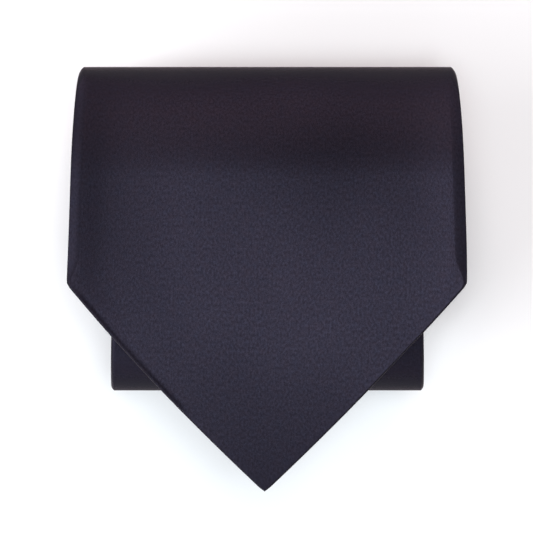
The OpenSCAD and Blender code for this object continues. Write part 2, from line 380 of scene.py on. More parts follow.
def painted_light_share(s, x):
    """The share by which the blade's satin colour is painted lighter or darker at s and x, in place of
    shade and sheen: a bell of both for a patch of painted shade, a smooth step of the distance from the
    middle times a bell of s for painted shade on the left and a painted highlight on the right, and a
    smooth step of s for painted shade towards the point."""
    shade_patch = bell(x, SHADE_PATCH_X, SHADE_PATCH_WIDTH) * bell(s, SHADE_PATCH_S, SHADE_PATCH_LENGTH)
    side = np.sign(x) * smooth((np.abs(x) - SIDE_FROM) / (SIDE_TO - SIDE_FROM))
    side = side * bell(s, SIDE_S, SIDE_LENGTH)
    point = 1 - smooth((s - POINT_FROM) / (POINT_TO - POINT_FROM))
    return SHADE_PATCH_SHARE * shade_patch + SIDE_SHARE * side + POINT_SHARE * point


def painted_edge_light(roll, s, x):
    """The share by which the left edge's colour is painted lighter or darker: bells over the distance
    from the edge, the crease's painted shade along the point and the rim's painted highlight along the
    straight side."""
    tip = roll.sizes.tip_length
    distance = (roll.half_width(s) + x) * np.where(s < tip, POINT_SLOPE, 1)
    crease = smooth((s - CREASE_FROM) / MARK_FADE) * smooth((tip + MM - s) / MARK_FADE)
    rim = smooth((s - tip) / MARK_FADE) * smooth((RIM_TO - s) / MARK_FADE)
    # Painted shade along the crease and a painted highlight on the rim, on the left edge only
    total = CREASE_SHARE * crease * bell(distance, CREASE_PLACE, CREASE_REACH)
    total = total + RIM_SHARE * rim * bell(distance, RIM_PLACE, RIM_REACH)
    return np.where(x < 0, total, 0)


# ------------------------------------------------------------------------------ meshes


def tube_faces(rings, points):
    """Quads of one closed tube: a band between each two rings, and caps at both ends whose quads
    join point i of the end ring to its partner, points - 1 - i."""
    ring, point = np.meshgrid(np.arange(rings - 1), np.arange(points), indexing="ij")
    after = (point + 1) % points
    band = np.stack(
        [
            ring * points + point,
            ring * points + after,
            (ring + 1) * points + after,
            (ring + 1) * points + point,
        ],
        axis=-1,
    ).reshape(-1, 4)
    near = np.arange(points // 2 - 1)
    cap = np.stack([near, near + 1, points - 2 - near, points - 1 - near], axis=-1)
    return np.concatenate([band, cap[:, ::-1], cap + (rings - 1) * points])


def make_piece(name, grids, maps, material, crease=50):
    """A mesh of closed tubes.  grids has the shape (tubes, rings, points, 3), and maps, of shape
    (tubes, rings, points, 2), holds each point's place on the unrolled cloth in metres."""
    tubes, rings, points = grids.shape[:3]
    one = tube_faces(rings, points)
    offsets = np.arange(tubes)[:, None, None] * rings * points
    faces = (one[None] + offsets).reshape(-1, 4)
    mesh = bpy.data.meshes.new(name)
    mesh.from_pydata(grids.reshape(-1, 3), [], faces)
    layer = mesh.uv_layers.new(name=CLOTH_MAP)
    layer.data.foreach_set("uv", maps.reshape(-1, 2)[faces.ravel()].astype(np.float32).ravel())
    mesh.polygons.foreach_set("use_smooth", np.ones(len(faces), bool))
    mesh.set_sharp_from_angle(angle=math.radians(crease))
    mesh.materials.append(material)
    mesh.update()
    piece = bpy.data.objects.new(name, mesh)
    bpy.context.collection.objects.link(piece)
    return piece


def unroll(x, h):
    """Distance along a ring of points, measured from its middle, as the first axis of the map."""
    step = np.hypot(np.diff(x, axis=1), np.diff(h, axis=1))
    along = np.concatenate([np.zeros((len(x), 1)), np.cumsum(step, axis=1)], axis=1)
    return along - along[:, -1:] / 2


# The upper side of a fold: 1 is a circle or an ellipse, 2 a straight slope
FOLD_POWER = 1.5
# How much closer together the points of the face lie near its edges
FACE_CROWDING = 1.6


def half_fold(width, gap, back, top, edge, under, counts):
    """Half of a folded section, from the free edge of the flap round the long edge to the middle of
    the face: a flat flap, a quarter ellipse below, a flatter quarter of cos^p and sin^p above, and
    a flat face."""
    flap_count, low_count, high_count, face_count = counts
    middle = back + 0.42 * (top - back)
    flap = np.linspace(0, 1, flap_count)
    low = np.linspace(-np.pi / 2, 0, low_count)[1:]
    high = np.linspace(0, np.pi / 2, high_count)[1:]
    across = 1 - np.linspace(0, 1, face_count)[1:] ** FACE_CROWDING
    x = [
        gap + flap * (width - under - gap),
        width - under + under * np.cos(low),
        width - edge + edge * np.cos(high) ** FOLD_POWER,
        (width - edge) * across,
    ]
    h = [
        back + 0 * flap,
        middle + (middle - back) * np.sin(low),
        middle + (top - middle) * np.sin(high) ** FOLD_POWER,
        top + 0 * across,
    ]
    return np.concatenate(x, axis=1), np.concatenate(h, axis=1)


def whole_fold(x, h):
    """Both halves of a folded section, from the left flap's free edge to the right one's."""
    return np.concatenate([-x, x[:, -2::-1]], axis=1), np.concatenate([h, h[:, -2::-1]], axis=1)


RIDGE_LEFT, RIDGE_RIGHT = 0.17 * MM, 0.03 * MM
RIDGE_WIDTH = 1.25 * MM
RIDGE_FROM, RIDGE_START = 10 * MM, 12 * MM
RIDGE_TO, RIDGE_END = 42 * MM, 6 * MM


def raised_rim(roll, s, x):
    """The rim that stands up a little along the pressed edges of the blade's point, more on the left:
    a smooth step over the distance from the edge, which fades out at the shoulders."""
    distance = (roll.half_width(s) - np.abs(x)) * POINT_SLOPE
    reach = smooth((s - RIDGE_FROM) / RIDGE_START) * (1 - smooth((s - RIDGE_TO) / RIDGE_END))
    height = np.where(x < 0, RIDGE_LEFT, RIDGE_RIGHT) * reach
    return height * (1 - smooth(distance / RIDGE_WIDTH))


def folded_panel(roll, name, s, counts, material, slants=(0, 0)):
    """A panel of the satin shell: one closed sheet folded into a flat C, whose ends may run
    slantwise across the tie."""
    size = roll.sizes
    wall = size.shell_thickness
    width = roll.half_width(s)[:, None]
    gap = roll.opening(s)[:, None]
    full = roll.fullness(s)[:, None]
    back, top = -roll.face * full, roll.face * full
    edge = np.minimum(roll.edge(s)[:, None], 0.75 * width)
    under = np.minimum(0.6 * edge, 0.5 * (width - gap))
    x, h = whole_fold(*half_fold(width, gap, back, top, edge, under, counts))
    h = h + np.where(h > 0, raised_rim(roll, s[:, None], x) * h / roll.face, 0)
    thin = np.minimum(wall, 0.3 * width)
    inner = half_fold(
        width - thin, gap, back + wall, top - wall, edge - 0.6 * thin, 0.75 * under, counts
    )
    x_in, h_in = whole_fold(*inner)
    free = 0.4 * np.minimum(wall, gap)
    lip_h = (h[:, :1] + h_in[:, :1]) / 2
    lip_x = x[:, -1:] - free
    ring_x = np.concatenate([x, lip_x, lip_x, x_in[:, ::-1], -lip_x, -lip_x], axis=1)
    ring_h = np.concatenate([h, lip_h - wall / 8, lip_h + wall / 8, h_in[:, ::-1]], axis=1)
    ring_h = np.concatenate([ring_h, lip_h + wall / 8, lip_h - wall / 8], axis=1)
    # The last lip points close the ring at its start, so the ring is turned to begin with them
    ring_x, ring_h = np.roll(ring_x, 1, axis=1), np.roll(ring_h, 1, axis=1)
    around = unroll(x, h)
    lip_u = around[:, -1:]
    ring_u = np.concatenate([around, lip_u, lip_u, around[:, ::-1], -lip_u, -lip_u], axis=1)
    ring_u = np.roll(ring_u, 1, axis=1)
    reach = 20 * MM
    slant = slants[0] * np.clip(1 - (s - s[0]) / reach, 0, 1)
    slant = slant + slants[1] * np.clip(1 - (s[-1] - s) / reach, 0, 1)
    ring_s = s[:, None] + slant[:, None] * ring_x
    grid = roll.place(ring_s, ring_x, ring_h)
    maps = np.stack([ring_u, ring_s], axis=-1)
    piece = make_piece(name, grid[None], maps[None], material)
    # Painted light and shade: the share by which the satin's colour is painted lighter or darker at each
    # point
    painted_light_layer = piece.data.attributes.new(PAINTED_LIGHT_MAP, "FLOAT", "POINT")
    painted_light = painted_light_share(ring_s, ring_u) + painted_edge_light(roll, ring_s, ring_x)
    painted_light_layer.data.foreach_set("value", painted_light.astype(np.float32).ravel())
    return piece


def band_ring(width, low, top, count, round_count=4):
    """A flat closed section with rounded sides, from its lower left corner over its top."""
    rounding = np.minimum((top - low) * 0.9, 0.6 * width)
    turn = np.linspace(-np.pi / 2, np.pi / 2, 2 * round_count + 1)
    across = np.linspace(-1, 1, count)[1:-1]
    middle, half = (top + low) / 2, (top - low) / 2
    left = -(width - rounding) - rounding * np.cos(turn)
    right = (width - rounding) + rounding * np.cos(turn[::-1])
    upper = (width - rounding) * across
    rise = middle + half * np.sin(turn)
    fall = middle + half * np.sin(turn[::-1])
    x = np.concatenate([left, upper, right, upper[:, ::-1]], axis=1)
    h = np.concatenate([rise, top + 0 * upper, fall, low + 0 * upper], axis=1)
    # Turned half way round the left side, so that each point has its partner under it
    return np.roll(x, -round_count, axis=1), np.roll(h, -round_count, axis=1)


def band(roll, name, s, width, low, top, count, material, bulge=None):
    """A flat strip of cloth on the route, of half width, low side and top side given at each s.
    bulge adds to h, as a function of s and x."""
    column = np.ones((len(s), 1))
    x, h = band_ring(width[:, None], low * column, top * column, count)
    x = np.concatenate([x, x[:, :1]], axis=1)
    h = np.concatenate([h, h[:, :1] + 0.01 * MM], axis=1)
    if x.shape[1] % 2:
        x, h = x[:, :-1], h[:, :-1]
    if bulge is not None:
        h = h + bulge(s[:, None], x)
    grid = roll.place(s[:, None], x, h)
    maps = np.stack([x, s[:, None] + 0 * x], axis=-1)
    return make_piece(name, grid[None], maps[None], material)


def stitches(roll, name, s, x, length_, width, thick, h, angle, material, rings=5, points=6):
    """Threads lying on the cloth: flattened capsules, their half width following the square root of
    1 - t^4 from end to end, dipping into the cloth at both ends."""
    s, x, h, angle = [np.atleast_1d(v)[:, None, None] for v in np.broadcast_arrays(s, x, h, angle)]
    t = np.linspace(-0.97, 0.97, rings)[None, :, None]
    round_ = np.linspace(0, 2 * np.pi, points, endpoint=False)[None, None, :]
    swell = (1 - t**4) ** 0.5
    along = t * length_ / 2
    across = -np.cos(round_) * swell * width / 2
    up = np.sin(round_) * swell * thick / 2 + h + 0.6 * thick * t**4
    at_x = x + along * np.sin(angle) + across * np.cos(angle)
    at_s = s + along * np.cos(angle) - across * np.sin(angle)
    grid = roll.place(at_s, at_x, up + 0 * at_x)
    maps = np.stack([across + 0 * along, along + 0 * across], axis=-1)
    maps = np.broadcast_to(maps, grid.shape[:3] + (2,))
    return make_piece(name, grid, maps, material, crease=80)


# --------------------------------------------------------------------------- materials


class Finish:
    """A material whose nodes are added by short calls."""

    def __init__(self, name, base, roughness, **sockets):
        self.material = bpy.data.materials.new(name)
        self.material.use_nodes = True
        self.tree = self.material.node_tree
        self.tree.nodes.clear()
        self.shader = self.tree.nodes.new("ShaderNodeBsdfPrincipled")
        output = self.tree.nodes.new("ShaderNodeOutputMaterial")
        self.tree.links.new(self.shader.outputs[0], output.inputs["Surface"])
        self.material.diffuse_color = (*base, 1)
        self.shader.inputs["Base Color"].default_value = (*base, 1)
        self.shader.inputs["Roughness"].default_value = roughness
        for socket, value in sockets.items():
            self.shader.inputs[socket.replace("_", " ")].default_value = value

    def add(self, kind, inputs=None, **settings):
        """A node of that kind, with its settings, its inputs' values and its links."""
        node = self.tree.nodes.new(kind)
        for name, value in settings.items():
            setattr(node, name, value)
        for name, value in (inputs or {}).items():
            socket = node.inputs[name]
            if isinstance(value, bpy.types.NodeSocket):
                self.tree.links.new(value, socket)
            else:
                socket.default_value = value
        return node

    def cloth(self, across, along):
        """The piece's own map, scaled so that one unit is one feature across and along the tie."""
        place = self.add("ShaderNodeUVMap", uv_map=CLOTH_MAP)
        inputs = {"Vector": place.outputs[0], "Scale": (1 / across, 1 / along, 1)}
        return self.add("ShaderNodeMapping", inputs).outputs[0]

    def noise(self, vector, detail=2.0, scale=1.0, roughness=0.5):
        """Noise of one feature a unit, about 0.5."""
        inputs = {"Vector": vector, "Scale": scale, "Detail": detail, "Roughness": roughness}
        return self.add("ShaderNodeTexNoise", inputs).outputs["Fac"]

    def between(self, value, low, high, to_low=0.0, to_high=1.0):
        """value carried from one range to another."""
        inputs = {"Value": value, "From Min": low, "From Max": high, "To Min": to_low, "To Max": to_high}
        return self.add("ShaderNodeMapRange", inputs).outputs[0]

    def sum(self, a, b, share=0.5):
        """a and b weighed together, b by its share."""
        scaled = self.add("ShaderNodeMath", {0: b, 1: share}, operation="MULTIPLY").outputs[0]
        inputs = {0: a, 1: 1 - share, 2: scaled}
        return self.add("ShaderNodeMath", inputs, operation="MULTIPLY_ADD").outputs[0]

    def mix(self, amount, low, high):
        """The colour from low to high as amount goes from 0 to 1; either may be a socket."""
        mix = self.add("ShaderNodeMix", data_type="RGBA")
        self.tree.links.new(amount, mix.inputs[0])
        ends = [socket for socket in mix.inputs if socket.type == "RGBA"]
        for socket, value in zip(ends, (low, high)):
            if isinstance(value, bpy.types.NodeSocket):
                self.tree.links.new(value, socket)
            else:
                socket.default_value = (*value, 1)
        return next(socket for socket in mix.outputs if socket.type == "RGBA")

    def paint(self, shade):
        """The socket shade becomes the base colour."""
        self.tree.links.new(shade, self.shader.inputs["Base Color"])

    def shine(self, amount, low, high):
        """Roughness from low to high as amount goes from 0 to 1."""
        self.tree.links.new(
            self.between(amount, 0, 1, low, high), self.shader.inputs["Roughness"]
        )

    def emboss(self, height, distance, strength=1.0):
        """A bump of that distance, in metres, from height."""
        inputs = {"Height": height, "Distance": distance, "Strength": strength}
        bump = self.add("ShaderNodeBump", inputs)
        self.tree.links.new(bump.outputs[0], self.shader.inputs["Normal"])


def satin_finish(colours):
    """Navy satin: long warp floats along the tie, a soft tinted shine, slow mottling, and painted light
    and shade on the blade that scales its colour.
    """
    finish = Finish(
        "navy_satin",
        colours.satin_light,
        0.42,
        Metallic=0.55,
        IOR=1.3,
        Specular_IOR_Level=0.1,
        Specular_Tint=(*colours.satin_gloss, 1),
        Anisotropic=0.3,
    )
    floats = finish.noise(finish.cloth(0.45 * MM, 0.7 * MM), detail=2, roughness=0.75)
    floats = finish.between(floats, 0.33, 0.67)
    patches = finish.between(finish.noise(finish.cloth(22 * MM, 30 * MM), detail=2), 0.2, 0.8)
    warmth = finish.noise(finish.cloth(1.9 * MM, 1.9 * MM), detail=2, roughness=0.8)
    warmth = finish.sum(finish.between(warmth, 0.22, 0.78), patches, 0.2)
    light = finish.mix(warmth, colours.satin_light, colours.satin_warm)
    shade = finish.mix(warmth, colours.satin_shade, [0.62 * c for c in colours.satin_warm])
    # Painted light and shade: the points' share scales the satin's colour from nothing to twice
    painted_light = finish.add("ShaderNodeAttribute", attribute_name=PAINTED_LIGHT_MAP).outputs["Fac"]
    painted_light_scale = finish.between(painted_light, -1, 1, 0, 2)
    woven = finish.mix(finish.sum(floats, patches, 0.15), shade, light)
    scaled = finish.add("ShaderNodeVectorMath", {0: woven, "Scale": painted_light_scale}, operation="SCALE")
    finish.paint(scaled.outputs[0])
    finish.shine(finish.sum(patches, floats, 0.6), 0.54, 0.44)
    finish.emboss(floats, 0.03 * MM, 0.4)
    return finish.material


def tipping_finish(colours):
    """Smooth lining: a fine plain weave, a little glossy."""
    finish = Finish(
        "tipping_lining",
        colours.tipping,
        0.5,
        Metallic=0.5,
        IOR=1.3,
        Specular_IOR_Level=0.1,
        Specular_Tint=(*colours.satin_gloss, 1),
    )
    weave = finish.add("ShaderNodeTexChecker", {"Vector": finish.cloth(0.3 * MM, 0.3 * MM), "Scale": 1})
    wear = finish.noise(finish.cloth(6 * MM, 6 * MM), detail=3)
    worn = finish.sum(wear, weave.outputs["Fac"], 0.4)
    dark = [0.7 * c for c in colours.tipping]
    light = [1.5 * c for c in colours.tipping]
    finish.paint(finish.mix(worn, dark, light))
    finish.emboss(weave.outputs["Fac"], 0.02 * MM, 0.5)
    return finish.material


def canvas_finish(colours):
    """Interlining: a loose, hairy plain weave in natural wool."""
    finish = Finish("wool_canvas", colours.canvas, 0.95, Sheen_Weight=0.3)
    warp = finish.add(
        "ShaderNodeTexWave", {"Vector": finish.cloth(0.8 * MM, 0.8 * MM), "Scale": 1, "Distortion": 1.5}
    )
    hair = finish.noise(finish.cloth(0.2 * MM, 1.5 * MM), detail=4)
    both = finish.sum(warp.outputs["Fac"], hair, 0.6)
    finish.paint(finish.mix(both, [0.6 * c for c in colours.canvas], colours.canvas))
    finish.emboss(both, 0.1 * MM)
    return finish.material


def label_finish(colours):
    """Woven label: close ribs across it, with a few lighter threads."""
    finish = Finish("woven_label_cloth", colours.label, 0.5, Sheen_Weight=0.1)
    ribs = finish.add(
        "ShaderNodeTexWave",
        {"Vector": finish.cloth(1, 2.2 * MM), "Scale": 1.6, "Distortion": 0.2},
        bands_direction="Y",
    )
    fleck = finish.noise(finish.cloth(0.9 * MM, 0.2 * MM), detail=3)
    both = finish.sum(ribs.outputs["Fac"], fleck, 0.5)
    finish.paint(finish.mix(both, [0.6 * c for c in colours.label], [2.0 * c for c in colours.label]))
    finish.emboss(both, 0.04 * MM, 0.7)
    return finish.material


def thread_finish(colours):
    """Sewing thread: two plies twisted together."""
    finish = Finish("sewing_thread", colours.thread, 0.6, Specular_IOR_Level=0.25, Sheen_Weight=0.1)
    twist = finish.add(
        "ShaderNodeTexWave",
        {"Vector": finish.cloth(0.5 * MM, 0.5 * MM), "Scale": 0.6, "Distortion": 0.4},
        bands_direction="DIAGONAL",
    )
    finish.paint(finish.mix(twist.outputs["Fac"], [0.5 * c for c in colours.thread], colours.thread))
    finish.emboss(twist.outputs["Fac"], 0.05 * MM)
    return finish.material


def floor_finish(colours):
    """Pale matt studio paper."""
    finish = Finish("studio_paper", colours.floor, 0.9, Specular_IOR_Level=0.2)
    place = finish.add("ShaderNodeTexCoord").outputs["Object"]
    fibre = finish.noise(place, detail=4, scale=30)
    finish.paint(finish.mix(fibre, [0.985 * c for c in colours.floor], colours.floor))
    return finish.material


FINISHES = {
    "satin": satin_finish,
    "tipping": tipping_finish,
    "canvas": canvas_finish,
    "label": label_finish,
    "thread": thread_finish,
}
made = {}


def finish_of(kind):
    """The material of a kind of cloth or thread, made once."""
    if kind not in made:
        made[kind] = FINISHES[kind](bpy.context.scene.tie_colours)
    return made[kind]


# -------------------------------------------------------------------- pieces and bodies


def on_blade(piece, kind, *nodes):
    """The piece keeps its place, baked into its points, and stands for those CAD nodes."""
    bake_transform(piece)
    if nodes:
        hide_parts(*nodes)
    return piece


def on_roll(piece, kind, *nodes):
    """The piece stays with the roll and stands for those CAD nodes."""
    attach(piece, "roll")
    if nodes:
        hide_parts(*nodes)
    return piece


def declare_panel(roll, s):
    """Works out the unfolded width of a folded panel, the face and both flaps, and does nothing with it.
    """
    width = 2 * roll.half_width(s) + 2 * (roll.half_width(s) - roll.opening(s))


# Points across a flap, under the edge, over the edge and across half the face
FINE_COUNTS = (18, 6, 9, 44)
PLAIN_COUNTS = (10, 5, 7, 20)
PANEL_SLANT = 0.5
PANEL_GAP = 0.1 * MM


def front_stations(roll, last):
    """Values of s down the front, close together at the very point."""
    point = np.array([0.03, 0.12, 0.28, 0.5, 0.8, 1.2, 1.7, 2.3]) * MM
    rest = np.linspace(3 * MM, last, int((last - 3 * MM) / (0.95 * MM)))
    return np.concatenate([point, rest])


class TIE_OT_blade_panel(bpy.types.Operator):
    """Make the blade panel of the shell, in two lengths that meet under the roll"""

    bl_idname = "tie.blade_panel"
    bl_label = "Blade Panel"

    def execute(self, context):
        roll = Roll(context.scene.tie_sizes)
        s = front_stations(roll, roll.cut)
        front = folded_panel(roll, "blade_front_panel", s, FINE_COUNTS, finish_of("satin"))
        on_blade(front, "satin", "blade_shell_front")
        s_roll = roll.stations(roll.cut, roll.blade_neck - PANEL_GAP, 0.8 * MM, 1.5 * MM)
        rolled = folded_panel(
            roll, "blade_rolled_panel", s_roll, PLAIN_COUNTS, finish_of("satin"), (0, PANEL_SLANT)
        )
        on_roll(rolled, "satin", "blade_shell_roll")
        declare_panel(roll, s)
        declare_panel(roll, s_roll)
        return {"FINISHED"}


class TIE_OT_neck_and_tail(bpy.types.Operator):
    """Make the neck panel and the tail panel of the shell"""

    bl_idname = "tie.neck_and_tail"
    bl_label = "Neck and Tail Panels"

    def execute(self, context):
        roll = Roll(context.scene.tie_sizes)
        satin = finish_of("satin")
        s = roll.stations(roll.blade_neck + PANEL_GAP, roll.neck_tail - PANEL_GAP, 0.8 * MM, 1.8 * MM)
        slants = (PANEL_SLANT, PANEL_SLANT)
        neck = folded_panel(roll, "neck_panel", s, PLAIN_COUNTS, satin, slants)
        on_roll(neck, "satin", "neck_shell")
        declare_panel(roll, s)
        end = roll.length - 0.03 * MM
        s = roll.stations(roll.neck_tail + PANEL_GAP, end, 0.6 * MM, 1.8 * MM)
        tail = folded_panel(roll, "tail_panel", s, PLAIN_COUNTS, satin, (PANEL_SLANT, 0))
        on_roll(tail, "satin", "tail_shell")
        declare_panel(roll, s)
        return {"FINISHED"}


LINING_INSET = 3 * MM
LINING_SIDE = 2.1 * MM
LINING_LOW = -0.30 * MM
LINING_TOP = 0.44 * MM
TIPPING_LOW = -0.46 * MM
TIPPING_TOP = -0.34 * MM
TIPPING_TUCK = 2.5 * MM


class TIE_OT_interlining(bpy.types.Operator):
    """Make the interlining strip, in two lengths that meet under the roll"""

    bl_idname = "tie.interlining"
    bl_label = "Interlining"

    def execute(self, context):
        roll = Roll(context.scene.tie_sizes)
        canvas = finish_of("canvas")
        inset = LINING_SIDE
        s = np.linspace(LINING_INSET, roll.cut, 150)
        width = roll.half_width(s) - np.minimum(inset, 0.6 * roll.half_width(s))
        front = band(roll, "interlining_blade_strip", s, width, LINING_LOW, LINING_TOP, 24, canvas)
        on_blade(front, "canvas", "interlining_front")
        s = roll.stations(roll.cut, roll.length - LINING_INSET, 0.8 * MM, 2.2 * MM)
        width = roll.half_width(s) - np.minimum(inset, 0.6 * roll.half_width(s))
        rest = band(roll, "interlining_roll_strip", s, width, LINING_LOW, LINING_TOP, 16, canvas)
        on_roll(rest, "canvas", "interlining_roll")
        return {"FINISHED"}


class TIE_OT_tippings(bpy.types.Operator):
    """Make the lining cloth behind the point of the blade and behind the point of the tail"""

    bl_idname = "tie.tippings"
    bl_label = "Tippings"

    def execute(self, context):
        roll = Roll(context.scene.tie_sizes)

        def bulge(s, x):
            """The lining fills out a little between the flaps, most of all in the middle."""
            share = np.clip(np.abs(x) / np.maximum(roll.opening(s), MM), 0, 1)
            return -0.14 * MM * (1 - share**2)

        def make(name, s):
            """One tipping along s, and its half width there."""
            width = np.minimum(roll.half_width(s) * 0.9, roll.opening(s) + TIPPING_TUCK)
            piece = band(
                roll, name, s, width, TIPPING_LOW, TIPPING_TOP, 40, finish_of("tipping"), bulge
            )
            return piece, width

        s = np.linspace(LINING_INSET, roll.meet - 0.6 * MM, 90)
        piece, width = make("blade_tipping_cloth", s)
        on_blade(piece, "tipping", "blade_tipping")
        s = np.linspace(roll.length - TAIL_MEET, roll.length - LINING_INSET, 60)
        piece, width = make("tail_tipping_cloth", s)
        on_roll(piece, "tipping", "tail_tipping")
        return {"FINISHED"}


LOOP_LENGTH = 54 * MM
LOOP_WIDTH = 14 * MM
LOOP_THICKNESS = 0.44 * MM
LOOP_RISE = 0.42 * MM
LOOP_FOOT = 4.5 * MM
LOOP_SLOPE = 4 * MM
THREAD_WIDTH = 0.35 * MM
THREAD_THICKNESS = 0.12 * MM


class TIE_OT_keeper_loop(bpy.types.Operator):
    """Make the keeper loop behind the blade and the tacks that hold its ends"""

    bl_idname = "tie.keeper_loop"
    bl_label = "Keeper Loop"

    def execute(self, context):
        roll = Roll(context.scene.tie_sizes)
        centre = roll.start[1] - roll.sizes.hub_spacing / 2
        half = LOOP_LENGTH / 2
        across = np.linspace(-half, half, 90)[:, None]
        # A flat tube: its ring runs round a stadium of the loop's width and thickness
        turn = np.linspace(0, np.pi, 7)
        straight = np.linspace(-1, 1, 14)[1:-1]
        flat = LOOP_WIDTH / 2 - LOOP_THICKNESS / 2
        edge = LOOP_THICKNESS / 2
        ring_s = np.concatenate(
            [-flat - edge * np.sin(turn), flat * straight, flat + edge * np.sin(turn), -flat * straight]
        )
        ring_h = np.concatenate(
            [-edge * np.cos(turn), edge + 0 * straight, edge * np.cos(turn), -edge + 0 * straight]
        )
        ring_s, ring_h = np.roll(ring_s, -3), np.roll(ring_h, -3)
        foot = half - LOOP_FOOT
        rise = smooth((foot - np.abs(across)) / LOOP_SLOPE) * LOOP_RISE
        soft = 0.05 * MM * np.sin(ring_s[None] / (2.3 * MM)) * smooth((foot - np.abs(across)) / (9 * MM))
        base = -roll.face - 0.02 * MM - LOOP_THICKNESS / 2
        h = base - rise + ring_h[None] + soft
        grid = roll.place(centre + ring_s[None], across, h)
        maps = np.stack(np.broadcast_arrays(ring_s[None], across), axis=-1)
        # Rings advance along x here, so their points run the other way round
        loop = make_piece(
            "keeper_loop_band", grid[None, :, ::-1], maps[None, :, ::-1], finish_of("satin")
        )
        on_roll(loop, "satin", "keeper_loop")
        step = np.repeat(np.arange(-2, 3), 2) * LOOP_WIDTH / 5
        side = np.tile([-1.0, 1.0], 5)
        tacks = stitches(
            roll,
            "keeper_loop_threads",
            centre + step,
            side * (half - 2 * MM),
            2.0 * MM,
            THREAD_WIDTH,
            THREAD_THICKNESS,
            base - LOOP_THICKNESS / 2 - 0.05 * MM,
            math.pi / 2,
            finish_of("thread"),
            rings=9,
            points=8,
        )
        on_roll(tacks, "thread", "keeper_loop_tacks")
        return {"FINISHED"}


LABEL_TOP = -0.94 * MM
LABEL_LOW = -1.09 * MM
LABEL_LENGTH = 50 * MM
LABEL_WIDTH = 20 * MM
CARE_LENGTH = 18 * MM
CARE_WIDTH = 13 * MM


class TIE_OT_labels(bpy.types.Operator):
    """Make the blank woven label with its stitches, and the blank care label"""

    bl_idname = "tie.labels"
    bl_label = "Blank Labels"

    def execute(self, context):
        roll = Roll(context.scene.tie_sizes)
        first = roll.start[1] + 3 * MM
        care = first + LABEL_WIDTH + 4 * MM
        plans = [
            ("woven_label", "main_label", first, LABEL_WIDTH, LABEL_LENGTH),
            ("care_tag", "care_label", care, CARE_WIDTH, CARE_LENGTH),
        ]
        for name, node, start, wide, long_ in plans:
            s = np.linspace(start, start + wide, 30)
            width = np.full(len(s), long_ / 2)
            piece = band(roll, name, s, width, LABEL_LOW, LABEL_TOP, 40, finish_of("label"))
            on_roll(piece, "label", node)
        steps = np.arange(1, 7) * LABEL_WIDTH / 7
        sewn = stitches(
            roll,
            "label_threads",
            first + np.tile(steps, 2),
            np.repeat([-1.0, 1.0], 6) * (LABEL_LENGTH / 2 - 1 * MM),
            1.8 * MM,
            THREAD_WIDTH,
            THREAD_THICKNESS,
            LABEL_LOW - 0.05 * MM,
            0,
            finish_of("thread"),
            rings=9,
            points=8,
        )
        on_roll(sewn, "thread", "main_label_stitches")
        return {"FINISHED"}


HEM_STITCH = 1.6 * MM
TACK_PITCH, TACK_WIDTH, TACK_THICKNESS = 0.3 * MM, 0.32 * MM, 0.2 * MM
SLIP_LENGTH, SLIP_ANGLE = 3.4 * MM, 1.35
SEAM_LENGTH, SEAM_WIDTH, SEAM_THICKNESS = 1.3 * MM, 0.1 * MM, 0.15 * MM
HEM_INSET = 1.2 * MM
SLIP_PITCH = 12 * MM
STITCH_H = -0.86 * MM


